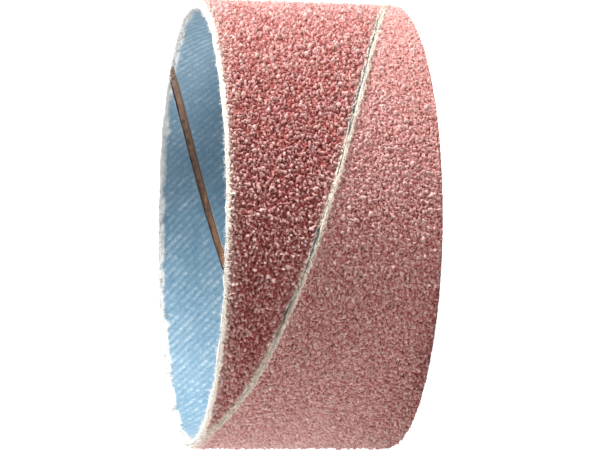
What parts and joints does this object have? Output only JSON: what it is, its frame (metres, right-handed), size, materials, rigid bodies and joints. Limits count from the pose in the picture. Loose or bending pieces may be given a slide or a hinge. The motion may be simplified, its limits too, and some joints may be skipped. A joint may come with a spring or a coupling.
{
  "type": "sanding sleeve",
  "caption": "Spiral-wound sanding sleeve: a ring of aluminium oxide abrasive cloth on a blue twill liner, open through, that slips over an expanding rubber drum.",
  "frame": {"origin": "middle of the lower cut rim, on the surface that the sleeve stands on", "axes": "+Z up along the sleeve's axis, out of the open end that the picture shows; -Y is the side that faces the camera and +X is up in the picture; the abrasive seam starts at the foot 1.5 degrees past +X, and climbs towards -Y"},
  "size_m": [0.06, 0.06, 0.027],
  "materials": {
    "abrasive_grain": "coarse pink-red aluminium oxide grain on cream cotton cloth, matt with small glints",
    "liner_twill": "blue cotton twill, matt, with a frayed cream cut edge",
    "bond_resin": "cured brown resin, dull"
  },
  "bodies": {
    "root": {"abrasive_cloth": "abrasive_grain", "liner_cloth": "liner_twill", "seam_resin": "bond_resin"}
  },
  "joints": []
}
